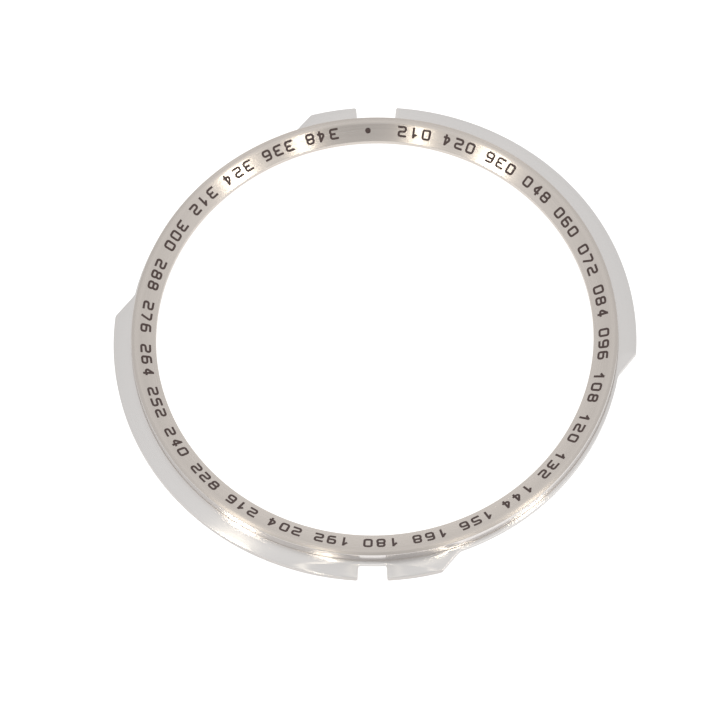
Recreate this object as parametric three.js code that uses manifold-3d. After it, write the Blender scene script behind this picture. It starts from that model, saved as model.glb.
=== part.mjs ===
// A fixed watch bezel: a turned index ring with a sloping face, seated in a flat mounting flange that has
// two lobes and two locating notches, and a lacquered zero pip on the face.
// Millimetres, +Z up. The origin is on the ring's axis, at the underside of the flange, and +Y points
// through the middle of the wide notch.

import * as THREE from 'three';
import { mergeVertices } from 'three/addons/utils/BufferGeometryUtils.js';
import Module from 'manifold-3d';

const wasm = await Module();
wasm.setup();

// Radii in plan
const flangeRadius = 21.0; // outside both lobes
const rimRadius = 19.78; // between the lobes, and at the floor of each notch
const openingRadius = 17.55; // the lip, which a crystal shows through
const rebateRadius = 18.3; // the crystal's seat under the lip, and the bore of the flange
const faceEndRadius = 18.8; // where the index face runs into the crown
const wallFootRadius = 19.52; // outer wall of the index ring, where it leaves the flange
const seatClearance = 0.04; // between the ring and the counterbore round its foot

// Heights, those of the index ring counted from the top of the flange
const flangeThickness = 0.56;
const counterboreDepth = 0.15;
const lipUnderside = -0.02;
const lipTop = 0.4;
const faceSlope = 0.48; // rise of the index face for each millimetre outwards
const crownRound = 0.8; // the broad round of the crown, outwards from the index face
const edgeRound = 0.1; // the small round between the crown and the outer wall

// Draft of the outer wall, in degrees from upright, leaning inwards
const wallDraft = 2;

// Angles in degrees, anticlockwise from +X as seen from above
const wideNotchAngle = 90;
const narrowNotchAngle = -90.1;
const wideNotchHalf = 4.53;
const narrowNotchHalf = 3.15;

// The slanted ends of a lobe, as angles from the middle of the notch that it holds
const nearTip = 14.95;
const nearFoot = 20.2;
const farTip = -94.65;
const farFoot = -100.5;

// Corner rounds of the flange's outline
const notchMouthRound = 0.15;
const notchFloorRound = 0.18;
const lobeTipRound = 0.4;
const lobeFootRound = 0.8;

// The zero pip, set square to the index face
const pipAngle = 92;
const pipPlanRadius = 18.35;
const pipRadius = 0.225;
const pipDepth = 0.1;
const pipClearance = 0.02;

// Fineness of the facets
const turnSteps = 180;
const cornerSteps = 5;
const crownSteps = 6;
const edgeSteps = 4;
const pipSides = 24;

const radians = THREE.MathUtils.degToRad;

function polar(radius, angle) {
  return new THREE.Vector2(radius * Math.cos(radians(angle)), radius * Math.sin(radians(angle)));
}

// The facet corners of a turned circle that lie between two angles, taken clockwise
function clockwiseArc(radius, from, to) {
  const step = 360 / turnSteps;
  const points = [];
  for (let i = Math.ceil(from / step) - 1; i * step > to; i--) points.push(polar(radius, i * step));
  return points;
}

// The way from one corner of the outline to a neighbour: along the arc that joins them, or straight
function heading(corner, neighbour, isArc) {
  if (isArc) return polar(1, corner.angle + 90 * Math.sign(neighbour.angle - corner.angle));
  const there = polar(neighbour.radius, neighbour.angle);
  return there.sub(polar(corner.radius, corner.angle)).normalize();
}

// A corner rounded between the two ways that leave it
function roundedCorner(corner, toPrevious, toNext) {
  const halfAngle = Math.acos(toPrevious.dot(toNext)) / 2;
  const setback = corner.round / Math.tan(halfAngle);
  const bisector = toPrevious.clone().add(toNext).normalize();
  const point = polar(corner.radius, corner.angle);
  const centre = point.clone().addScaledVector(bisector, corner.round / Math.sin(halfAngle));
  const start = point.clone().addScaledVector(toPrevious, setback).sub(centre);
  const end = point.clone().addScaledVector(toNext, setback).sub(centre);
  const turn = Math.atan2(start.cross(end), start.dot(end));
  const origin = new THREE.Vector2();
  const points = [];
  for (let i = 0; i <= cornerSteps; i++) {
    points.push(start.clone().rotateAround(origin, (turn * i) / cornerSteps).add(centre));
  }
  return points;
}

// One lobe with the notch in it, clockwise. An arc leaves the corners that are marked so.
function lobeCorners(notchAngle, notchHalf) {
  const corner = (radius, offset, round, arc) => ({ radius, angle: notchAngle + offset, round, arc });
  return [
    corner(rimRadius, nearFoot, lobeFootRound, false),
    corner(flangeRadius, nearTip, lobeTipRound, true),
    corner(flangeRadius, notchHalf, notchMouthRound, false),
    corner(rimRadius, notchHalf, notchFloorRound, true),
    corner(rimRadius, -notchHalf, notchFloorRound, false),
    corner(flangeRadius, -notchHalf, notchMouthRound, true),
    corner(flangeRadius, farTip, lobeTipRound, false),
    corner(rimRadius, farFoot, lobeFootRound, true),
  ];
}

function flangeOutline() {
  const corners = [
    ...lobeCorners(wideNotchAngle, wideNotchHalf),
    ...lobeCorners(narrowNotchAngle, narrowNotchHalf),
  ];
  const arcMargin = 1.5; // degrees kept free of facet corners beside a rounded corner
  const points = [];
  corners.forEach((corner, i) => {
    const last = corners.at(-1);
    const previous = i > 0 ? corners[i - 1] : { ...last, angle: last.angle + 360 };
    const next = i < corners.length - 1 ? corners[i + 1] : { ...corners[0], angle: corners[0].angle - 360 };
    const toPrevious = heading(corner, previous, previous.arc);
    const toNext = heading(corner, next, corner.arc);
    points.push(...roundedCorner(corner, toPrevious, toNext));
    if (corner.arc) {
      points.push(...clockwiseArc(corner.radius, corner.angle - arcMargin, next.angle + arcMargin));
    }
  });
  return points;
}

function turned(profile) {
  return new THREE.LatheGeometry([...profile, profile[0]], turnSteps).rotateX(Math.PI / 2);
}

function toSolid(geometry) {
  const bare = geometry.clone();
  bare.deleteAttribute('normal');
  bare.deleteAttribute('uv');
  const merged = mergeVertices(bare, 1e-5);
  const vertProperties = new Float32Array(merged.attributes.position.array);
  const triVerts = new Uint32Array(merged.index.array);
  return new wasm.Manifold(new wasm.Mesh({ numProp: 3, vertProperties, triVerts }));
}

function toGeometry(solid) {
  const { vertProperties, triVerts } = solid.getMesh();
  const geometry = new THREE.BufferGeometry();
  geometry.setAttribute('position', new THREE.BufferAttribute(new Float32Array(vertProperties), 3));
  geometry.setIndex(new THREE.BufferAttribute(new Uint32Array(triVerts), 1));
  geometry.computeVertexNormals();
  return geometry;
}

// The flat plate, with the counterbore that the index ring stands in
function mountingFlange() {
  const outline = new THREE.Shape(flangeOutline());
  const bore = [polar(rebateRadius, 180), ...clockwiseArc(rebateRadius, 180, -180)];
  outline.holes.push(new THREE.Path(bore.reverse())); // a hole runs the other way round
  const plate = new THREE.ExtrudeGeometry(outline, { depth: flangeThickness, bevelEnabled: false });
  const floor = flangeThickness - counterboreDepth;
  const above = flangeThickness + 1;
  const counterbore = turned([
    new THREE.Vector2(rebateRadius - 1, floor),
    new THREE.Vector2(wallFootRadius + seatClearance, floor),
    new THREE.Vector2(wallFootRadius + seatClearance, above),
    new THREE.Vector2(rebateRadius - 1, above),
  ]);
  return toGeometry(toSolid(plate).subtract(toSolid(counterbore)));
}

function faceHeight(radius) {
  return lipTop + faceSlope * (radius - openingRadius);
}

// The outward normal of the index face and the point under the pip's centre, in the ring's own frame
const faceTilt = Math.atan(faceSlope);
const pipSpoke = polar(1, pipAngle);
const faceNormal = new THREE.Vector3(
  -Math.sin(faceTilt) * pipSpoke.x,
  -Math.sin(faceTilt) * pipSpoke.y,
  Math.cos(faceTilt),
);
const pipCentre = new THREE.Vector3(
  pipPlanRadius * pipSpoke.x,
  pipPlanRadius * pipSpoke.y,
  faceHeight(pipPlanRadius),
);

// A rod square to the index face, from one height over the face to another
function rodOnFace(radius, low, high) {
  const rod = new THREE.CylinderGeometry(radius, radius, high - low, pipSides);
  rod.translate(0, (high + low) / 2, 0);
  rod.applyQuaternion(new THREE.Quaternion().setFromUnitVectors(new THREE.Vector3(0, 1, 0), faceNormal));
  return rod.translate(pipCentre.x, pipCentre.y, pipCentre.z);
}

// Points on an arc of the ring's profile, given by radius and height, from one angle to another
function profileArc(centre, round, from, to, steps) {
  const points = [];
  for (let i = 0; i <= steps; i++) {
    const angle = from + ((to - from) * i) / steps;
    const spoke = new THREE.Vector2(Math.cos(angle), Math.sin(angle));
    points.push(spoke.multiplyScalar(round).add(centre));
  }
  return points;
}

// The crown, from the outer wall up and inwards to the index face. The broad round meets the face without a
// corner. The small round lies inside it and touches both it and the leaning wall.
function crownProfile() {
  const faceNormalAngle = Math.PI / 2 + faceTilt;
  const broadCentre = new THREE.Vector2(
    faceEndRadius - crownRound * Math.cos(faceNormalAngle),
    faceHeight(faceEndRadius) - crownRound * Math.sin(faceNormalAngle),
  );
  const wallAngle = radians(wallDraft);
  const wallNormal = new THREE.Vector2(Math.cos(wallAngle), Math.sin(wallAngle));
  const wallReach = wallNormal.x * wallFootRadius - edgeRound - broadCentre.dot(wallNormal);
  const meetingAngle = wallAngle + Math.acos(wallReach / (crownRound - edgeRound));
  const smallCentre = new THREE.Vector2(Math.cos(meetingAngle), Math.sin(meetingAngle));
  smallCentre.multiplyScalar(crownRound - edgeRound).add(broadCentre);
  return [
    ...profileArc(smallCentre, edgeRound, wallAngle, meetingAngle, edgeSteps),
    ...profileArc(broadCentre, crownRound, meetingAngle, faceNormalAngle, crownSteps).slice(1),
  ];
}

// The turned ring, with the drilled seat of the pip. Height zero is the top of the flange.
function indexRing() {
  const ring = turned([
    new THREE.Vector2(openingRadius, lipUnderside),
    new THREE.Vector2(rebateRadius, lipUnderside),
    new THREE.Vector2(rebateRadius, -counterboreDepth),
    new THREE.Vector2(wallFootRadius, -counterboreDepth),
    new THREE.Vector2(wallFootRadius, 0),
    ...crownProfile(),
    new THREE.Vector2(openingRadius, lipTop),
  ]);
  const pipSeat = rodOnFace(pipRadius + pipClearance, -pipDepth - pipClearance, 1);
  return toGeometry(toSolid(ring).subtract(toSolid(pipSeat)));
}

function zeroPip() {
  return rodOnFace(pipRadius, -pipDepth, 0);
}

const finishes = {
  brushedSteel: new THREE.MeshStandardMaterial({ color: '#bcb5ad', metalness: 1, roughness: 0.3 }),
  turnedSteel: new THREE.MeshStandardMaterial({ color: '#d1cecb', metalness: 1, roughness: 0.35 }),
  markingLacquer: new THREE.MeshStandardMaterial({ color: '#54454a', metalness: 0, roughness: 0.5 }),
};

function part(name, geometry, finish, height = 0) {
  const mesh = new THREE.Mesh(geometry, finish);
  mesh.name = name;
  mesh.position.z = height;
  return mesh;
}

const bezel = new THREE.Group();
bezel.add(
  part('mounting_flange', mountingFlange(), finishes.turnedSteel),
  part('index_ring', indexRing(), finishes.brushedSteel, flangeThickness),
  part('zero_pip', zeroPip(), finishes.markingLacquer, flangeThickness),
);

export default bezel;
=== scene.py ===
# %% [markdown]
# A steel watch bezel
#
# The real object is a bare ring of steel, about as wide as a large coin. A sloping index face carries
# dark numerals, a crown rises outside it, and a thin flange with lobes and notches holds it in its case.
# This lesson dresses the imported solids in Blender: each piece is built as finely as the eye can see, and
# then gets the finish that its tool would leave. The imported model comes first, because it fixes every
# place and size.

# %% Tools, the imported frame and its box
import math

import bmesh
import bpy
from mathutils import Matrix, Vector
from mathutils.geometry import delaunay_2d_cdt, tessellate_polygon


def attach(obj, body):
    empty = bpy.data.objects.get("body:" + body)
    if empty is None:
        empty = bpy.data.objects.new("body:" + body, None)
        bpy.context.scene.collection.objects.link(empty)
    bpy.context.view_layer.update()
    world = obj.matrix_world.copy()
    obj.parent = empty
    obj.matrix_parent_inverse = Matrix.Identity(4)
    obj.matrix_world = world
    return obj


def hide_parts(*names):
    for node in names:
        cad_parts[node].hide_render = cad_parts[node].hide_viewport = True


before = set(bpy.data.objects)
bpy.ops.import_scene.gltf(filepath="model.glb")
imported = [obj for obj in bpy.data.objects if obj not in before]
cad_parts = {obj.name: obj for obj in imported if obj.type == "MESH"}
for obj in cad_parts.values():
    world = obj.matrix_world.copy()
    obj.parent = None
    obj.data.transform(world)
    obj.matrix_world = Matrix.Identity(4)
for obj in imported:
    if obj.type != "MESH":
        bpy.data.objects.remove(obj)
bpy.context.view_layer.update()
scene = bpy.context.scene
scene.view_settings.view_transform = "Standard"
print("Packed nodes:", sorted(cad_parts))

# %% [markdown]
# The sizes are the same as in the solids. A maker thinks of this part in millimetres, and Blender's unit
# is the metre, so every mesh is built in millimetres and shrunk once at the end. Heights of the ring
# count from the top of the flange, because that is the face a lathe hand would measure from. The index
# face runs outwards and up to the crown, a broad round, which a small round joins to the steep outer
# wall.

# %% Sizes in millimetres
MM = 0.001
flange_radius = 21.0
rim_radius = 19.78
opening_radius = 17.55
rebate_radius = 18.3
wall_foot_radius = 19.52
wall_draft = math.radians(2.0)
foot_round = 0.04
flange_thickness = 0.56
counterbore_depth = 0.15
lip_underside = -0.02
lip_top = 0.4
face_slope = 0.48
face_end_radius = 18.8
crown_round = 0.8
edge_round = 0.1
face_tilt = math.atan(face_slope)


def face_height(radius):
    return lip_top + face_slope * (radius - opening_radius)


print(f"The face would reach {face_height(wall_foot_radius):.3f} mm over the foot of the wall")

# %% [markdown]
# The camera comes before the pieces, so that each of them can be judged in the picture. It looks down at
# 64.6 degrees from 250 mm away, which is close enough for the near side to look larger than the far side.
# Its place comes from where the ring's axis meets the top of the flange, and its lens from how wide the
# flange is in a picture of 720 by 720.

# %% The camera
picture_side = 720
axis_column = 374.511
axis_row = 334.447
focal_pixels = 3112.31
camera_distance = 250.0
camera_tilt = math.radians(25.407)
camera_roll = math.radians(3.3635)
camera_turn = math.radians(3.52)
sensor_side = 36.0
nearest_seen = 0.01
farthest_seen = 10.0

turned_round = Matrix.Rotation(camera_turn, 3, "Z")
backward = Vector((0, -math.sin(camera_tilt), math.cos(camera_tilt)))
level_right = Vector((1, 0, 0))
level_up = backward.cross(level_right)
rolled_right = math.cos(camera_roll) * level_right - math.sin(camera_roll) * level_up
rolled_up = math.sin(camera_roll) * level_right + math.cos(camera_roll) * level_up
aside = (axis_column - picture_side / 2) * camera_distance / focal_pixels
below = (axis_row - picture_side / 2) * camera_distance / focal_pixels
camera_place = camera_distance * backward - aside * rolled_right + below * rolled_up
axis_point = Vector((0, 0, flange_thickness))

camera_data = bpy.data.cameras.new("portrait_camera")
camera_data.sensor_width = sensor_side
camera_data.lens = focal_pixels / picture_side * sensor_side
camera_data.clip_start = nearest_seen
camera_data.clip_end = farthest_seen
camera = bpy.data.objects.new("portrait_camera", camera_data)
scene.collection.objects.link(camera)
camera_axes = turned_round @ Matrix((rolled_right, rolled_up, backward)).transposed()
camera_spot = (turned_round @ camera_place + axis_point) * MM
camera.matrix_world = Matrix.Translation(camera_spot) @ camera_axes.to_4x4()
scene.camera = camera
print(f"Lens {camera_data.lens:.1f} mm at {tuple(round(c, 4) for c in camera.location)} m")

# %% [markdown]
# Colours are written as the hex values that a painter would pick on a screen. Blender computes with
# linear light, so one function converts them by the rule of the sRGB standard. Another adds a node with
# its settings, its values and its links, which keeps each material readable from top to bottom.


# %% Colour and node helpers
def linear(hex_colour):
    channels = [int(hex_colour[start : start + 2], 16) / 255 for start in (1, 3, 5)]
    straight = [c / 12.92 if c <= 0.04045 else ((c + 0.055) / 1.055) ** 2.4 for c in channels]
    return (*straight, 1.0)


def add_node(tree, kind, settings=None, values=None, links=None):
    node = tree.nodes.new(kind)
    for name, setting in (settings or {}).items():
        setattr(node, name, setting)
    for name, value in (values or {}).items():
        node.inputs[name].default_value = value
    for name, socket in (links or {}).items():
        tree.links.new(socket, node.inputs[name])
    return node


print("White in linear light:", linear("#FFFFFF"))

# %% [markdown]
# Polished steel has hardly a colour of its own: it shows its surroundings. In a studio such a part
# therefore lies in a tent of white cloth. The world plays the tent here. A first ramp gives the cloth's
# brightness by height, brightest overhead. A second lifts it low on the far side, where a window would
# be, and a third dims it round the hole for the lens. Both depend on how near a direction comes to a
# fixed one. What the camera sees directly stays white. Each stop below is a place on the ramp and a
# brightness.

# %% The light tent
cloth_by_height = [
    (0.0, 0.66),
    (0.5, 0.68),
    (0.65, 0.73),
    (0.75, 0.77),
    (0.87, 0.785),
    (0.93, 0.84),
    (1.0, 0.91),
]
cloth_far_and_low = [
    (0.0, 1.0),
    (0.25, 1.0),
    (0.5, 1.07),
    (0.7, 1.14),
    (0.8, 1.18),
    (1.0, 1.25),
]
hole_by_nearness = [
    (0.0, 1.0),
    (0.8, 1.0),
    (0.9, 0.94),
    (0.95, 0.8),
    (0.98, 0.62),
    (1.0, 0.52),
]
stops_in_new_ramp = 2
hole_direction = turned_round @ backward
far_and_low = turned_round @ Vector((0, 0.94, -0.342))

world = bpy.data.worlds.new("light_tent")
scene.world = world
world.use_nodes = True
tent = world.node_tree
tent.nodes.clear()


def brightness_ramp(stops, value):
    ramp = add_node(tent, "ShaderNodeValToRGB", None, None, {"Fac": value})
    elements = ramp.color_ramp.elements
    for number, (position, brightness) in enumerate(stops):
        stop = elements[number] if number < stops_in_new_ramp else elements.new(1.0)
        stop.position = position
        stop.color = (brightness, brightness, brightness, 1.0)
    return ramp.outputs["Color"]


looking = add_node(tent, "ShaderNodeTexCoord").outputs["Generated"]
looking_apart = add_node(tent, "ShaderNodeSeparateXYZ", None, None, {"Vector": looking})
cloth_light = brightness_ramp(cloth_by_height, looking_apart.outputs["Z"])
for direction, stops in ((far_and_low, cloth_far_and_low), (hole_direction, hole_by_nearness)):
    nearness = add_node(
        tent,
        "ShaderNodeVectorMath",
        {"operation": "DOT_PRODUCT"},
        {1: direction},
        {0: looking},
    )
    factor = brightness_ramp(stops, nearness.outputs["Value"])
    changed = add_node(
        tent,
        "ShaderNodeVectorMath",
        {"operation": "MULTIPLY"},
        None,
        {0: cloth_light, 1: factor},
    )
    cloth_light = changed.outputs["Vector"]
seen = add_node(tent, "ShaderNodeLightPath")
tent_cloth = add_node(
    tent,
    "ShaderNodeBackground",
    None,
    {"Strength": 1.0},
    {"Color": cloth_light},
)
tent_white = add_node(
    tent,
    "ShaderNodeBackground",
    None,
    {"Color": linear("#FFFFFF"), "Strength": 1.0},
)
tent_mix = add_node(
    tent,
    "ShaderNodeMixShader",
    None,
    None,
    {0: seen.outputs["Is Camera Ray"], 1: tent_cloth.outputs[0], 2: tent_white.outputs[0]},
)
add_node(tent, "ShaderNodeOutputWorld", None, None, {"Surface": tent_mix.outputs[0]})
print("Cloth brightness by height:", cloth_by_height)

# %% [markdown]
# Four small warm lamps stand inside the tent, two to a side. A brushed ring answers each of them with a
# short bright patch where its slope throws the lamp into the lens. The two small ones stand near the
# lens, and their patches lie beside the middle of the near side and of the far side. The two longer ones
# stand further out and a little back, and their patches lie further out on both sides. Sizes and the
# distance from the ring are in metres.

# %% The four lamps
lamp_distance = 0.31
lamp_colour = linear("#FFF6E4")[:3]
lamp_kinds = {
    "small": {"width": 0.02, "length": 0.024, "watts": 0.029},
    "long": {"width": 0.03, "length": 0.055, "watts": 0.058},
}
lamps = [
    ("lamp_left_near", "small", (-0.211, -0.374, 0.903)),
    ("lamp_right_near", "small", (0.232, -0.350, 0.908)),
    ("lamp_left_far", "long", (-0.454, -0.20, 0.868)),
    ("lamp_right_far", "long", (0.454, -0.20, 0.868)),
]

for name, kind, direction in lamps:
    lamp_data = bpy.data.lights.new(name, "AREA")
    lamp_data.shape = "ELLIPSE"
    lamp_data.size = lamp_kinds[kind]["width"]
    lamp_data.size_y = lamp_kinds[kind]["length"]
    lamp_data.energy = lamp_kinds[kind]["watts"]
    lamp_data.color = lamp_colour
    lamp = bpy.data.objects.new(name, lamp_data)
    scene.collection.objects.link(lamp)
    toward_lamp = (turned_round @ Vector(direction)).normalized()
    lamp.location = toward_lamp * lamp_distance
    lamp.rotation_euler = toward_lamp.to_track_quat("Z", "Y").to_euler()
print("Lamps:", ", ".join(name for name, _, _ in lamps))

# %% [markdown]
# The ground is a sheet of matt white card, and the bezel lies on it. For the camera and in reflections
# the card glows too, so that it reads as white without more light on the steel. Its matt part still takes
# the bezel's soft shadow. The side is in metres and the drop below the bezel in millimetres.

# %% The white card
card_side = 3.0
card_drop = 0.02
card_reflected_glow = 0.72
card_extra_glow = 0.2

card_mesh = bpy.data.meshes.new("white_card")
card_bm = bmesh.new()
bmesh.ops.create_grid(card_bm, x_segments=2, y_segments=2, size=card_side / 2)
bmesh.ops.translate(card_bm, verts=card_bm.verts, vec=(0, 0, -card_drop * MM))
card_bm.to_mesh(card_mesh)
card_bm.free()
white_card = bpy.data.objects.new("white_card", card_mesh)
scene.collection.objects.link(white_card)

card_paper = bpy.data.materials.new("matt_white_card")
card_paper.use_nodes = True
card_tree = card_paper.node_tree
card_tree.nodes.clear()
card_seen = add_node(card_tree, "ShaderNodeLightPath")
card_shown = card_seen.outputs["Is Camera Ray"]
for other_ray in ("Is Glossy Ray", "Is Transmission Ray"):
    joined = add_node(
        card_tree,
        "ShaderNodeMath",
        {"operation": "MAXIMUM"},
        None,
        {0: card_shown, 1: card_seen.outputs[other_ray]},
    )
    card_shown = joined.outputs[0]
card_matt = add_node(card_tree, "ShaderNodeBsdfDiffuse", None, {"Color": linear("#F4F4F2")})
card_shade = add_node(card_tree, "ShaderNodeBsdfDiffuse", None, {"Color": linear("#A8A8A8")})
card_strength = add_node(
    card_tree,
    "ShaderNodeMath",
    {"operation": "MULTIPLY_ADD"},
    {1: card_extra_glow, 2: card_reflected_glow},
    {0: card_seen.outputs["Is Camera Ray"]},
)
card_glow = add_node(
    card_tree,
    "ShaderNodeEmission",
    None,
    {"Color": linear("#FFFFFF")},
    {"Strength": card_strength.outputs[0]},
)
card_bright = add_node(
    card_tree,
    "ShaderNodeAddShader",
    None,
    None,
    {0: card_shade.outputs[0], 1: card_glow.outputs[0]},
)
card_mix = add_node(
    card_tree,
    "ShaderNodeMixShader",
    None,
    None,
    {0: card_shown, 1: card_matt.outputs[0], 2: card_bright.outputs[0]},
)
add_node(card_tree, "ShaderNodeOutputMaterial", None, None, {"Surface": card_mix.outputs[0]})
card_mesh.materials.append(card_paper)
print(f"White card {card_side} m wide, {card_drop} mm under the bezel")

# %% [markdown]
# Steel that was turned on a lathe and then brushed shows fine lines round the axis. They are a few
# hundredths of a millimetre apart, finer than the picture resolves, so they are drawn a little coarser
# and very shallow. Seen from afar their work is to spread a reflection across the lines and not along
# them, which is what a shader's anisotropy does. Its direction comes from a tangent that runs round the
# axis. One function makes every steel of this part. Spacing, length and depth of the lines are in
# millimetres. The noise that draws them also changes the tone and the gloss a little, between its usual
# low and high. A fade, where there is one, is painted light: it makes the steel paler at the opening
# than at the outer wall.

# %% Steel with fine lines round the axis
grain_low = 0.3
grain_high = 0.7
gloss_range = 0.12
quarter_turn = 0.25


def ring_lined_steel(
    name, colour, roughness, across, line_spacing, line_length, line_depth, tone_range, painted_light_fade=0.0
):
    steel = bpy.data.materials.new(name)
    steel.use_nodes = True
    tree = steel.node_tree
    tree.nodes.clear()
    place = add_node(tree, "ShaderNodeTexCoord")
    flat = add_node(
        tree,
        "ShaderNodeVectorMath",
        {"operation": "MULTIPLY"},
        {1: (1, 1, 0)},
        {0: place.outputs["Object"]},
    )
    radius = add_node(
        tree,
        "ShaderNodeVectorMath",
        {"operation": "LENGTH"},
        None,
        {0: flat.outputs["Vector"]},
    )
    spoke = add_node(
        tree,
        "ShaderNodeVectorMath",
        {"operation": "NORMALIZE"},
        None,
        {0: flat.outputs["Vector"]},
    )
    turns = add_node(
        tree,
        "ShaderNodeVectorMath",
        {"operation": "SCALE"},
        {"Scale": wall_foot_radius / line_length},
        {0: spoke.outputs["Vector"]},
    )
    lines = add_node(
        tree,
        "ShaderNodeMath",
        {"operation": "MULTIPLY"},
        {1: 1 / (line_spacing * MM)},
        {0: radius.outputs["Value"]},
    )
    stacked = add_node(tree, "ShaderNodeCombineXYZ", None, None, {"Z": lines.outputs[0]})
    grain_place = add_node(
        tree,
        "ShaderNodeVectorMath",
        {"operation": "ADD"},
        None,
        {0: turns.outputs["Vector"], 1: stacked.outputs["Vector"]},
    )
    grain = add_node(
        tree,
        "ShaderNodeTexNoise",
        None,
        {"Scale": 1.0, "Detail": 3.0, "Roughness": 0.6},
        {"Vector": grain_place.outputs["Vector"]},
    )
    tone = add_node(
        tree,
        "ShaderNodeMapRange",
        None,
        {
            "From Min": grain_low,
            "From Max": grain_high,
            "To Min": 1 - tone_range,
            "To Max": 1 + tone_range,
        },
        {"Value": grain.outputs["Fac"]},
    )
    painted_light_by_radius = add_node(
        tree,
        "ShaderNodeMapRange",
        None,
        {
            "From Min": opening_radius * MM,
            "From Max": wall_foot_radius * MM,
            "To Min": 1 + painted_light_fade,
            "To Max": 1 - painted_light_fade,
        },
        {"Value": radius.outputs["Value"]},
    )
    shade = add_node(
        tree,
        "ShaderNodeMath",
        {"operation": "MULTIPLY"},
        None,
        {0: tone.outputs["Result"], 1: painted_light_by_radius.outputs["Result"]},
    )
    toned = add_node(
        tree,
        "ShaderNodeVectorMath",
        {"operation": "SCALE"},
        {0: linear(colour)[:3]},
        {"Scale": shade.outputs[0]},
    )
    gloss = add_node(
        tree,
        "ShaderNodeMapRange",
        None,
        {
            "From Min": grain_low,
            "From Max": grain_high,
            "To Min": roughness * (1 - gloss_range),
            "To Max": roughness * (1 + gloss_range),
        },
        {"Value": grain.outputs["Fac"]},
    )
    relief = add_node(
        tree,
        "ShaderNodeBump",
        None,
        {"Strength": 1.0, "Distance": line_depth * MM},
        {"Height": grain.outputs["Fac"]},
    )
    round_axis = add_node(tree, "ShaderNodeTangent", {"direction_type": "RADIAL", "axis": "Z"})
    skin = add_node(
        tree,
        "ShaderNodeBsdfPrincipled",
        None,
        {"Metallic": 1.0, "Anisotropic": across, "Anisotropic Rotation": quarter_turn},
        {
            "Base Color": toned.outputs["Vector"],
            "Roughness": gloss.outputs["Result"],
            "Normal": relief.outputs["Normal"],
            "Tangent": round_axis.outputs["Tangent"],
        },
    )
    add_node(tree, "ShaderNodeOutputMaterial", None, None, {"Surface": skin.outputs["BSDF"]})
    return steel


print("Lined steel varies its gloss by", f"{gloss_range:.0%}")

# %% [markdown]
# The index ring wears three finishes. Its face is brushed round the axis, which gives wide bright patches
# with soft sides and a warm grey between them. The crown is brushed with a coarser belt, so its patches
# are wider and duller. The wall is polished and mirrors the flange and the tent in fine bands.

# %% The steels of the ring
brushed_index_steel = ring_lined_steel(
    "brushed_index_steel",
    "#DCD4CD",
    roughness=0.25,
    across=0.95,
    line_spacing=0.06,
    line_length=9.0,
    line_depth=0.0002,
    tone_range=0.03,
    # the fade is painted light: the face is paler at the opening and darker towards the crown
    painted_light_fade=0.07,
)
satin_crown_steel = ring_lined_steel(
    "satin_crown_steel",
    "#E2DAD3",
    roughness=0.36,
    across=1.0,
    line_spacing=0.06,
    line_length=9.0,
    line_depth=0.0002,
    tone_range=0.03,
    # the fade is painted light here too, so the crown is darker towards the outer wall
    painted_light_fade=0.07,
)
polished_wall_steel = ring_lined_steel(
    "polished_wall_steel",
    "#ECE8E6",
    roughness=0.15,
    across=0.85,
    line_spacing=0.05,
    line_length=12.0,
    line_depth=0.0001,
    tone_range=0.02,
)
ring_steels = (brushed_index_steel, polished_wall_steel, satin_crown_steel)
print("Steels of the ring:", [steel.name for steel in ring_steels])

# %% [markdown]
# The flange wears two finishes. Its faces were turned with a fine feed, so they are paler and mirror the
# white tent, with a glow only where a lamp stands right. The edges of its lobes were milled, which
# leaves a duller grey with no direction.

# %% The steels of the flange
milled_edge_steel = ring_lined_steel(
    "milled_edge_steel",
    "#D2CDCA",
    roughness=0.32,
    across=0.0,
    line_spacing=0.1,
    line_length=2.0,
    line_depth=0.0003,
    tone_range=0.03,
)
lathe_turned_steel = ring_lined_steel(
    "lathe_turned_steel",
    "#E7E4E2",
    roughness=0.20,
    across=1.0,
    line_spacing=0.08,
    line_length=14.0,
    line_depth=0.00015,
    tone_range=0.02,
)
flange_steels = (lathe_turned_steel, milled_edge_steel)
print("Steels of the flange:", [steel.name for steel in flange_steels])

# %% [markdown]
# The index ring is a turned part, so its mesh is a profile swept round the axis. Steps of half a degree
# look round even in a close view. A second function finishes any mesh of this lesson: it turns the faces
# outwards, lifts the piece to its height, shrinks it to metres, and shades it smooth except at sharp
# edges.

# %% Turning a profile
turn_steps = 720
sharp_from = 25


def swept_rows(bm, profile, closed=True):
    rows = []
    for radius, height in profile:
        row = []
        for step in range(turn_steps):
            angle = 2 * math.pi * step / turn_steps
            row.append(bm.verts.new((radius * math.cos(angle), radius * math.sin(angle), height)))
        rows.append(row)
    next_rows = rows[1:] + rows[:1] if closed else rows[1:]
    for row, following in zip(rows, next_rows):
        for step in range(turn_steps):
            after = (step + 1) % turn_steps
            bm.faces.new((row[step], row[after], following[after], following[step]))
    return rows


def finished_mesh(bm, name, height=0.0, crease=sharp_from):
    bmesh.ops.recalc_face_normals(bm, faces=bm.faces)
    bmesh.ops.translate(bm, verts=bm.verts, vec=(0, 0, height))
    bmesh.ops.scale(bm, verts=bm.verts, vec=(MM, MM, MM))
    mesh = bpy.data.meshes.new(name)
    bm.to_mesh(mesh)
    bm.free()
    mesh.shade_smooth()
    mesh.set_sharp_from_angle(angle=math.radians(crease))
    piece = bpy.data.objects.new(name, mesh)
    scene.collection.objects.link(piece)
    return piece


print("A swept profile has", turn_steps, "steps")

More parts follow.
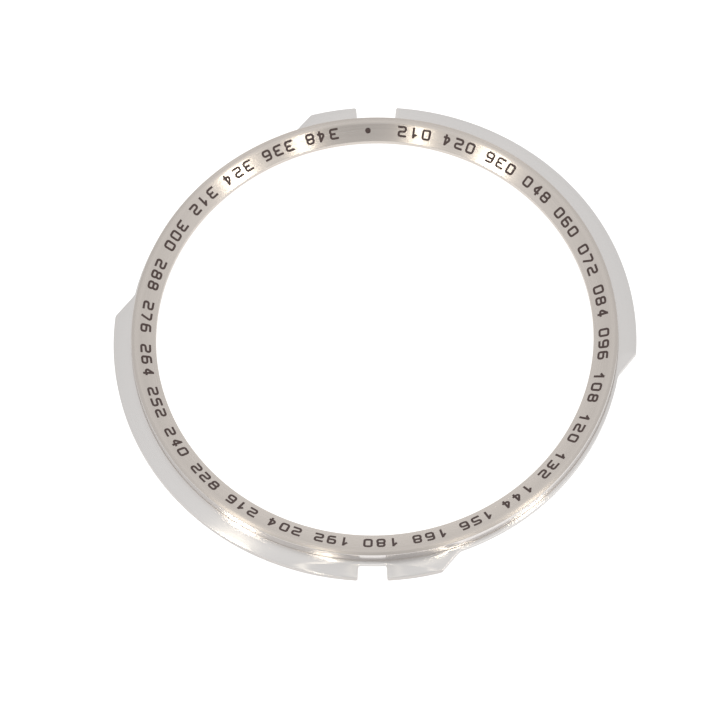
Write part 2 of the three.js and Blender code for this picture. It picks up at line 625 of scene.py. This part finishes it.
# %% [markdown]
# The profile has every edge that a finger would feel: small breaks at the lip, the broad round of the
# crown, the small round beside it, and the steep wall with a tiny round at its foot, as a cutter's nose
# leaves it. The small round touches the crown's round from inside and the wall, which fixes its centre.
# So the lesson works out how far the wall lies from the crown's centre, and from that the angle where the
# rounds meet. Extra rows close to each corner keep the shading of the flat stretches true. Finer steps
# reach a little higher on a round than the solid's coarse ones, so the whole top lies a few thousandths
# lower.

# %% The profile of the index ring
lip_break = 0.015
seat_break = 0.03
crown_steps = 20
edge_steps = 10
foot_steps = 8
crown_lowering = 0.004
shading_margin = 0.02

crown_centre = Vector(
    (
        face_end_radius + crown_round * math.sin(face_tilt),
        face_height(face_end_radius) - crown_round * math.cos(face_tilt) - crown_lowering,
    )
)
wall_normal = Vector((math.cos(wall_draft), math.sin(wall_draft)))
wall_reach = wall_normal.x * wall_foot_radius - edge_round - crown_centre.dot(wall_normal)
between_centres = crown_round - edge_round
edge_start = wall_draft + math.acos(wall_reach / between_centres)
edge_centre = crown_centre + between_centres * Vector((math.cos(edge_start), math.sin(edge_start)))


def profile_arc(centre, radius, first, last, steps):
    angles = [first + (last - first) * step / steps for step in range(steps + 1)]
    return [centre + radius * Vector((math.cos(angle), math.sin(angle))) for angle in angles]


edge_arc = profile_arc(edge_centre, edge_round, wall_draft, edge_start, edge_steps)
crown_arc = profile_arc(crown_centre, crown_round, edge_start, math.pi / 2 + face_tilt, crown_steps)
along_face = Vector((math.cos(face_tilt), math.sin(face_tilt)))
along_wall = Vector((-math.sin(wall_draft), math.cos(wall_draft)))
lip_corner = Vector((opening_radius, lip_top - crown_lowering))
foot_setback = foot_round * (1 - math.sin(wall_draft)) / math.cos(wall_draft)
foot_centre = Vector((wall_foot_radius + foot_setback, foot_round))
foot_arc = profile_arc(foot_centre, foot_round, 1.5 * math.pi, math.pi + wall_draft, foot_steps)

ring_profile = [
    Vector((opening_radius, lip_underside + lip_break)),
    Vector((opening_radius + lip_break, lip_underside)),
    Vector((rebate_radius, lip_underside)),
    Vector((rebate_radius, -counterbore_depth + seat_break)),
    Vector((rebate_radius + seat_break, -counterbore_depth)),
    Vector((foot_centre.x - seat_break, -counterbore_depth)),
    Vector((foot_centre.x, -counterbore_depth + seat_break)),
    *foot_arc,
    foot_arc[-1] + along_wall * shading_margin,
    edge_arc[0] - along_wall * shading_margin,
    *edge_arc,
    *crown_arc[1:],
    crown_arc[-1] - along_face * shading_margin,
    lip_corner + along_face * (lip_break + shading_margin),
    lip_corner + along_face * lip_break,
    Vector((opening_radius, lip_corner.y - lip_break)),
]
ring_bm = bmesh.new()
swept_rows(ring_bm, ring_profile)
index_face = finished_mesh(ring_bm, "index_ring_fine", flange_thickness)
crown_top = max(point.y for point in ring_profile)
print(f"Index ring: {len(ring_profile)} rows, crown top {crown_top:.3f} mm over the flange")

# %% [markdown]
# The zero pip is a drop of lacquer in a small drilled seat, both square to the sloping face. So one
# function stacks round rows of points into a closed disc, given as radius and height over the face, and
# tilts it into its place. It makes the drill as well as the drop.

# %% The place of the pip
zero_angle = 92
pip_angle = math.radians(zero_angle)
pip_plan_radius = 18.35
pip_radius = 0.225
pip_sides = 64

pip_centre = Vector(
    (
        pip_plan_radius * math.cos(pip_angle),
        pip_plan_radius * math.sin(pip_angle),
        face_height(pip_plan_radius) + flange_thickness - crown_lowering,
    )
)
pip_normal = Vector(
    (
        -math.sin(face_tilt) * math.cos(pip_angle),
        -math.sin(face_tilt) * math.sin(pip_angle),
        math.cos(face_tilt),
    )
)
square_to_face = pip_normal.to_track_quat("Z", "Y").to_matrix().to_4x4()


def disc_on_face(name, rows):
    bm = bmesh.new()
    loops = []
    for radius, height in rows:
        loop = []
        for side in range(pip_sides):
            angle = 2 * math.pi * side / pip_sides
            loop.append(bm.verts.new((radius * math.cos(angle), radius * math.sin(angle), height)))
        loops.append(loop)
    for loop, following in zip(loops, loops[1:]):
        for side in range(pip_sides):
            after = (side + 1) % pip_sides
            bm.faces.new((loop[side], loop[after], following[after], following[side]))
    bm.faces.new(loops[0])
    bm.faces.new(loops[-1])
    bmesh.ops.transform(bm, matrix=Matrix.Translation(pip_centre) @ square_to_face, verts=bm.verts)
    return finished_mesh(bm, name)


print(f"Pip at {zero_angle} degrees, {2 * pip_radius} mm wide")

# %% [markdown]
# A drill cuts the real seat, and a boolean does it here: it takes the drill's cylinder away from the ring.
# The result is read back as a plain mesh, so that no modifier stays on the piece.

# %% Drilling the seat
pip_depth = 0.1
pip_clearance = 0.012
drill_overcut = 0.02
drill_length = 0.5
drill_radius = pip_radius + pip_clearance

drill_rows = [(drill_radius, -pip_depth - drill_overcut), (drill_radius, drill_length)]
seat_drill = disc_on_face("seat_drill", drill_rows)
drilling = index_face.modifiers.new("pip_seat", "BOOLEAN")
drilling.operation = "DIFFERENCE"
drilling.solver = "EXACT"
drilling.object = seat_drill
workshop = bpy.context.evaluated_depsgraph_get()
workshop.update()
drilled = bpy.data.meshes.new_from_object(
    index_face.evaluated_get(workshop), preserve_all_data_layers=True, depsgraph=workshop
)
index_face.modifiers.clear()
index_face.data = drilled
drilled.name = "index_ring_fine"
drilled.set_sharp_from_angle(angle=math.radians(sharp_from))
bpy.data.objects.remove(seat_drill)
print(f"Seat drilled: the ring now has {len(drilled.polygons)} faces")

# %% [markdown]
# The lacquer is dropped in, shrinks from the rim as it dries, and stands a hair proud with a soft edge. So
# the rows of its skin step in from the rim while they rise over the face.

# %% Filling the seat
pip_break = 0.01
pip_crown = 0.012
pip_skin = [(0.0, -0.006), (0.008, 0.002), (0.03, 0.008), (pip_radius * 0.5, pip_crown)]

pip_rows = [(pip_radius - pip_break, -pip_depth), (pip_radius, -pip_depth + pip_break)]
pip_rows += [(pip_radius - inset, height) for inset, height in pip_skin]
zero_pip_drop = disc_on_face("zero_pip_drop", pip_rows)
print(f"The pip has {len(zero_pip_drop.data.polygons)} faces and stands {pip_crown} mm proud")

# %% [markdown]
# One mesh can wear three finishes: each of its faces picks a material by which way it looks. Two parts of
# its normal tell that, the upright one and the one away from the axis, each between 0 and 1 in size. What
# looks outwards and is steep is the polished wall. What leans outwards by more than a few degrees is the
# satin crown. All the rest, such as the face and the lip, keeps the first material, the brushed one.

# %% Finishing the index ring
wall_below = 0.55
crown_above = 0.1
wall_slot = ring_steels.index(polished_wall_steel)
crown_slot = ring_steels.index(satin_crown_steel)

drilled.materials.clear()
for steel in ring_steels:
    drilled.materials.append(steel)
for polygon in drilled.polygons:
    outward = polygon.normal.xy.dot(polygon.center.xy.normalized())
    if outward > 0 and abs(polygon.normal.z) < wall_below:
        polygon.material_index = wall_slot
    elif outward > crown_above:
        polygon.material_index = crown_slot
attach(index_face, "root")
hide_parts("index_ring")
polished = [polygon for polygon in drilled.polygons if polygon.material_index == wall_slot]
print("Polished faces on the ring:", len(polished))

# %% [markdown]
# The flange is milled from sheet. Its outline is a chain of arcs round the axis and of straight lines
# between them, with every corner rounded by the cutter. The outline is worked out here from the same
# angles as in the solid, only finer. Angles are in degrees, and those of a lobe's ends count from the
# middle of its notch. Each corner is a radius, an angle, the cutter's round, and whether an arc leads on
# to the next corner.

# %% The corners of the flange
wide_notch_angle = 90.0
narrow_notch_angle = -90.1
wide_notch_half = 4.53
narrow_notch_half = 3.15
near_tip = 14.95
near_foot = 20.2
far_tip = -94.65
far_foot = -100.5
notch_mouth_round = 0.15
notch_floor_round = 0.18
lobe_tip_round = 0.4
lobe_foot_round = 0.8
corner_steps = 10
arc_step = 0.5
arc_margin = 1.5


def polar(radius, degrees):
    angle = math.radians(degrees)
    return Vector((radius * math.cos(angle), radius * math.sin(angle)))


def lobe_corners(notch_angle, notch_half):
    corners = [
        (rim_radius, near_foot, lobe_foot_round, False),
        (flange_radius, near_tip, lobe_tip_round, True),
        (flange_radius, notch_half, notch_mouth_round, False),
        (rim_radius, notch_half, notch_floor_round, True),
        (rim_radius, -notch_half, notch_floor_round, False),
        (flange_radius, -notch_half, notch_mouth_round, True),
        (flange_radius, far_tip, lobe_tip_round, False),
        (rim_radius, far_foot, lobe_foot_round, True),
    ]
    return [(radius, notch_angle + offset, fillet, arc) for radius, offset, fillet, arc in corners]


wide_lobe = lobe_corners(wide_notch_angle, wide_notch_half)
narrow_lobe = lobe_corners(narrow_notch_angle, narrow_notch_half)
print(f"The flange has {len(wide_lobe + narrow_lobe)} corners, {corner_steps} steps to a round")

# %% [markdown]
# The cutter leaves its own round in each corner, so a corner becomes a fillet between two headings. One
# leads along a straight line, and the other square to the spoke where an arc begins. Arcs get points every
# half degree, except close to the fillets. The chain runs clockwise, and the last line turns it round.


# %% The outline of the flange
def heading(corner, neighbour, is_arc):
    if is_arc:
        return polar(1, corner[1] + math.copysign(90, neighbour[1] - corner[1]))
    return (polar(neighbour[0], neighbour[1]) - polar(corner[0], corner[1])).normalized()


def rounded_corner(corner, to_previous, to_next):
    radius, degrees, fillet, _ = corner
    half_angle = math.acos(to_previous.dot(to_next)) / 2
    setback = fillet / math.tan(half_angle)
    point = polar(radius, degrees)
    centre = point + (to_previous + to_next).normalized() * fillet / math.sin(half_angle)
    start = point + to_previous * setback - centre
    end = point + to_next * setback - centre
    turn = math.atan2(start.x * end.y - start.y * end.x, start.dot(end))
    turns = [turn * step / corner_steps for step in range(corner_steps + 1)]
    return [centre + Matrix.Rotation(angle, 2) @ start for angle in turns]


def turned_corner(corner, degrees):
    return (corner[0], corner[1] + degrees, *corner[2:])


def flange_outline(corners):
    chain = [turned_corner(corners[-1], 360), *corners, turned_corner(corners[0], -360)]
    points = []
    for previous, corner, following in zip(chain, chain[1:], chain[2:]):
        to_previous = heading(corner, previous, previous[3])
        to_next = heading(corner, following, corner[3])
        points += rounded_corner(corner, to_previous, to_next)
        if corner[3]:
            step = math.ceil((corner[1] - arc_margin) / arc_step) - 1
            while step * arc_step > following[1] + arc_margin:
                points.append(polar(corner[0], step * arc_step))
                step -= 1
    return points[::-1]


outline = flange_outline(wide_lobe + narrow_lobe)
print(f"Flange outline: {len(outline)} points")

# %% [markdown]
# The plate is stacked from loops of the outline. Top and bottom loops are stepped in by two hundredths,
# which makes the broken edges that a deburring wheel leaves. The bore and the counterbore are swept like
# the ring, and flat faces of triangles close the plate between the outline and the bore. The joint to the
# ring is nearly closed, as a pressed or brazed one is.

# %% The flange as a mesh
sharpest_step = 0.5


def stepped_in(points, distance):
    moved = []
    for number, point in enumerate(points):
        before = (point - points[number - 1]).normalized()
        after = (points[(number + 1) % len(points)] - point).normalized()
        inward = Vector((-(before + after).y, (before + after).x)).normalized()
        moved.append(point + inward * distance / max(sharpest_step, math.cos(before.angle(after) / 2)))
    return moved


edge_break = 0.02
bulge_share = 0.3
edge_bulge = edge_break * bulge_share
bore_break = 0.02
joint_gap = 0.004
counterbore_radius = foot_centre.x + joint_gap
counterbore_floor = flange_thickness - counterbore_depth

flange_bm = bmesh.new()
outer_loops = [
    (stepped_in(outline, edge_break), flange_thickness),
    (stepped_in(outline, edge_bulge), flange_thickness - edge_bulge),
    (outline, flange_thickness - edge_break),
    (outline, edge_break),
    (stepped_in(outline, edge_bulge), edge_bulge),
    (stepped_in(outline, edge_break), 0.0),
]
outer_rows = []
for points, height in outer_loops:
    outer_rows.append([flange_bm.verts.new((point.x, point.y, height)) for point in points])
for row, following in zip(outer_rows, outer_rows[1:]):
    for number in range(len(row)):
        after = (number + 1) % len(row)
        flange_bm.faces.new((row[number], row[after], following[after], following[number]))
inner_rows = swept_rows(
    flange_bm,
    [
        (counterbore_radius, flange_thickness),
        (counterbore_radius, counterbore_floor),
        (rebate_radius + bore_break, counterbore_floor),
        (rebate_radius, counterbore_floor - bore_break),
        (rebate_radius, bore_break),
        (rebate_radius + bore_break, 0.0),
    ],
    closed=False,
)
for side in (0, -1):
    both = outer_rows[side] + inner_rows[side]
    loops = [[vertex.co for vertex in row] for row in (outer_rows[side], inner_rows[side])]
    for triangle in tessellate_polygon(loops):
        flange_bm.faces.new([both[corner] for corner in triangle])
flange_plate = finished_mesh(flange_bm, "flange_plate_fine")
print(f"Flange: {len(flange_plate.data.polygons)} faces")

# %% [markdown]
# Only the edges round the lobes wear the milled finish. They are found by their distance from the axis and
# by not lying level, which the upright part of their normal tells.

# %% Finishing the flange
lobe_edge_band = 0.5
lobe_edge_from = (flange_radius - lobe_edge_band) * MM
level_above = 0.9

for steel in flange_steels:
    flange_plate.data.materials.append(steel)
for polygon in flange_plate.data.polygons:
    if polygon.center.xy.length > lobe_edge_from and abs(polygon.normal.z) < level_above:
        polygon.material_index = flange_steels.index(milled_edge_steel)
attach(flange_plate, "root")
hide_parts("mounting_flange")
milled = [polygon for polygon in flange_plate.data.polygons if polygon.material_index]
print("Milled faces on the flange:", len(milled))

# %% [markdown]
# The markings are numbers of degrees, printed in a dark warm lacquer that stands about a hundredth of a
# millimetre proud. A font would do, but plain technical figures of one stroke width are easy to draw as
# lines, as an engraver's template has them. Each figure is drawn in a box one unit wide and one high,
# which the middles of its strokes touch. Most open ends reach past it by half a stroke. True before a line
# says that it closes on itself.

# %% Figures as single lines
figure_height = 0.93
figure_width = 0.74
stroke_width = 0.18
corner_round = 0.15
figure_gap = 0.27

past_width = stroke_width / 2 / (figure_width - stroke_width)
past_height = stroke_width / 2 / (figure_height - stroke_width)
right_end = 1 + past_width
left_end = -past_width
top_end = 1 + past_height
bottom_end = -past_height

FIGURE_LINES = {
    "0": [(True, [(0, 0), (1, 0), (1, 1), (0, 1)])],
    "1": [(False, [(0.62, bottom_end), (0.62, top_end)]), (False, [(0.14, 0.62), (0.62, 1)])],
    "2": [(False, [(left_end, 1), (1, 1), (1, 0.52), (0, 0.48), (0, 0), (right_end, 0)])],
    "3": [
        (False, [(left_end, 1), (1, 1), (1, 0.51), (0.25, 0.51)]),
        (False, [(0.25, 0.51), (1, 0.51), (1, 0), (left_end, 0)]),
    ],
    "4": [
        (False, [(0.8, bottom_end), (0.8, top_end)]),
        (False, [(0.8, 1.02), (0, 0.23), (right_end, 0.23)]),
    ],
    "5": [(False, [(right_end, 1), (0, 1), (0, 0.56), (1, 0.56), (1, 0), (left_end, 0)])],
    "6": [(False, [(1, 1), (0, 1), (0, 0), (1, 0), (1, 0.56), (0, 0.56)])],
    "7": [(False, [(left_end, 1), (1, 1), (0.36, bottom_end)])],
    "8": [
        (True, [(0, 0), (1, 0), (1, 0.52), (0, 0.52)]),
        (True, [(0.04, 0.52), (0.96, 0.52), (0.96, 1), (0.04, 1)]),
    ],
    "9": [(False, [(0, 0), (1, 0), (1, 1), (0, 1), (0, 0.44), (1, 0.44)])],
}
print(f"Figures {figure_height} mm high in strokes of {stroke_width} mm")

# %% [markdown]
# Each line gets round corners first, then a left and a right side half a stroke away. A quad between them
# for every step makes the stroke. The rounds of a corner take less than half of the line on either side.

# %% From lines to strokes
largest_share = 0.45
softening_steps = 5


def softened(points, closed):
    soft = []
    for number, point in enumerate(points):
        at_end = not closed and number in (0, len(points) - 1)
        if at_end:
            soft.append(point)
            continue
        to_before = points[number - 1] - point
        to_after = points[(number + 1) % len(points)] - point
        half_angle = to_before.angle(to_after) / 2
        setback = corner_round / math.tan(half_angle)
        setback = min(setback, to_before.length * largest_share, to_after.length * largest_share)
        fillet = setback * math.tan(half_angle)
        before = to_before.normalized()
        after = to_after.normalized()
        centre = point + (before + after).normalized() * fillet / math.sin(half_angle)
        start = point + before * setback - centre
        end = point + after * setback - centre
        turn = math.atan2(start.x * end.y - start.y * end.x, start.dot(end))
        turns = [turn * step / softening_steps for step in range(softening_steps + 1)]
        soft += [centre + Matrix.Rotation(angle, 2) @ start for angle in turns]
    return soft


def stroke_quads(points, closed):
    left = []
    right = []
    for number, point in enumerate(points):
        before = points[number - 1] if closed or number else None
        after = points[(number + 1) % len(points)] if closed or number + 1 < len(points) else None
        came = (point - before).normalized() if before is not None else (after - point).normalized()
        goes = (after - point).normalized() if after is not None else came
        sideways = Vector((-(came + goes).y, (came + goes).x)).normalized()
        reach = stroke_width / 2 / math.cos(came.angle(goes) / 2)
        left.append(point + sideways * reach)
        right.append(point - sideways * reach)
    count = len(points)
    pairs = [(i, (i + 1) % count) for i in range(count if closed else count - 1)]
    return [(left[i], right[i], right[j], left[j]) for i, j in pairs]


print(f"A corner's round has {softening_steps} steps")

# %% [markdown]
# Where strokes of a figure cross, they would lie in each other. A constrained triangulation unites them
# in the plane: it cuts all quads at each other and says of each triangle which quads it comes from.
# Triangles from no quad are the open parts of a figure and are left out.

# %% From strokes to figures
cut_at_inside = 1
merge_distance = 1e-6


def figure_shape(figure):
    corners = []
    quads = []
    line_width = figure_width - stroke_width
    line_height = figure_height - stroke_width
    for closed, line in FIGURE_LINES[figure]:
        points = [Vector(((x - 0.5) * line_width, (y - 0.5) * line_height)) for x, y in line]
        for quad in stroke_quads(softened(points, closed), closed):
            quads.append(list(range(len(corners), len(corners) + 4)))
            corners += quad
    points, _, faces, _, _, origins = delaunay_2d_cdt(corners, [], quads, cut_at_inside, merge_distance)
    return points, [face for face, origin in zip(faces, origins) if origin]


figure_shapes = {figure: figure_shape(figure) for figure in FIGURE_LINES}
print("Triangles in each figure:", {figure: len(shape[1]) for figure, shape in figure_shapes.items()})

# %% [markdown]
# Ink and lacquer are not black. This one is a warm dark grey with a satin skin, and its surface has the
# slight unevenness of a filling that shrank as it dried, in patches of about a tenth of a millimetre. To
# the eye that gives figures which stay dark in the glow of the steel, with no mirror-like glint.

# %% Dark lacquer
marking_lacquer = bpy.data.materials.new("dark_marking_lacquer")
marking_lacquer.use_nodes = True
lacquer_tree = marking_lacquer.node_tree
lacquer_tree.nodes.clear()
lacquer_grain_size = 0.12
lacquer_grain_depth = 0.002
lacquer_place = add_node(lacquer_tree, "ShaderNodeTexCoord")
lacquer_grain = add_node(
    lacquer_tree,
    "ShaderNodeTexNoise",
    None,
    {"Scale": 1 / (lacquer_grain_size * MM), "Detail": 2.0},
    {"Vector": lacquer_place.outputs["Object"]},
)
lacquer_colour = add_node(
    lacquer_tree,
    "ShaderNodeMix",
    {"data_type": "RGBA"},
    {6: linear("#402F2D"), 7: linear("#503F3C")},
    {0: lacquer_grain.outputs["Fac"]},
)
lacquer_gloss = add_node(
    lacquer_tree,
    "ShaderNodeMapRange",
    None,
    {"To Min": 0.42, "To Max": 0.6},
    {"Value": lacquer_grain.outputs["Fac"]},
)
lacquer_relief = add_node(
    lacquer_tree,
    "ShaderNodeBump",
    None,
    {"Strength": 0.5, "Distance": lacquer_grain_depth * MM},
    {"Height": lacquer_grain.outputs["Fac"]},
)
lacquer_skin = add_node(
    lacquer_tree,
    "ShaderNodeBsdfPrincipled",
    None,
    {"IOR": 1.5},
    {
        "Base Color": lacquer_colour.outputs[2],
        "Roughness": lacquer_gloss.outputs["Result"],
        "Normal": lacquer_relief.outputs["Normal"],
    },
)
add_node(lacquer_tree, "ShaderNodeOutputMaterial", None, None, {"Surface": lacquer_skin.outputs["BSDF"]})

zero_pip_drop.data.materials.append(marking_lacquer)
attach(zero_pip_drop, "root")
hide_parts("zero_pip")
print("Lacquer on", zero_pip_drop.name)

# %% [markdown]
# The face is a cone, so a flat figure is wrapped onto it: its width becomes an angle round the axis and
# its height a way up the slope. Top and bottom copies of the figure, joined by walls along the free
# edges, give the lacquer its thickness, and the bottom sinks a little into the steel. The numbers run
# clockwise from the pip. Those from 048 to 216, on the right and the near side, have their feet towards
# the opening, and the others have their heads there.

# %% Wrapping a number onto the cone
text_radius = 18.355
lacquer_thickness = 0.012
lacquer_sunk = 0.004
lacquer_sharp_from = 35
feet_inward_from = -124
feet_inward_to = 44


def on_cone(radius, angle, lift):
    height = face_height(radius) + flange_thickness - crown_lowering + lift * math.cos(face_tilt)
    plan = radius - lift * math.sin(face_tilt)
    return Vector((plan * math.cos(angle), plan * math.sin(angle), height))


def number_on_face(number, degrees):
    feet_inward = feet_inward_from <= degrees <= feet_inward_to
    reading = -1 if feet_inward else 1
    upward = -reading
    bm = bmesh.new()
    for place, figure in enumerate(f"{number:03d}"):
        shift = (place - 1) * (figure_width + figure_gap)
        points, faces = figure_shapes[figure]
        used = sorted({corner for face in faces for corner in face})
        top = {}
        bottom = {}
        for corner in used:
            along, across = points[corner].x + shift, points[corner].y
            angle = math.radians(degrees) + reading * along / text_radius
            radius = text_radius + upward * across * math.cos(face_tilt)
            top[corner] = bm.verts.new(on_cone(radius, angle, lacquer_thickness))
            bottom[corner] = bm.verts.new(on_cone(radius, angle, -lacquer_sunk))
        sides = {}
        for face in faces:
            bm.faces.new([top[corner] for corner in face])
            bm.faces.new([bottom[corner] for corner in reversed(face)])
            for start, end in zip(face, face[1:] + face[:1]):
                sides.setdefault(frozenset((start, end)), []).append((start, end))
        for uses in sides.values():
            if len(uses) == 1:
                start, end = uses[0]
                bm.faces.new((top[start], bottom[start], bottom[end], top[end]))
    label = finished_mesh(bm, f"bearing_{number:03d}", crease=lacquer_sharp_from)
    label.data.materials.append(marking_lacquer)
    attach(label, "root")
    return label


print(f"Lacquer {lacquer_thickness} mm proud and {lacquer_sunk} mm sunk")

# %% [markdown]
# Twenty-nine numbers stand twelve degrees apart, and the pip has the place of the thirtieth. Each is a piece
# of its own, so that a reader can pick out one number and change it.

# %% The numbers
label_step = 12

labels = []
for number in range(label_step, 360, label_step):
    degrees = (zero_angle - number + 180) % 360 - 180
    labels.append(number_on_face(number, degrees))
print(f"{len(labels)} numbers, from {labels[0].name} to {labels[-1].name}")
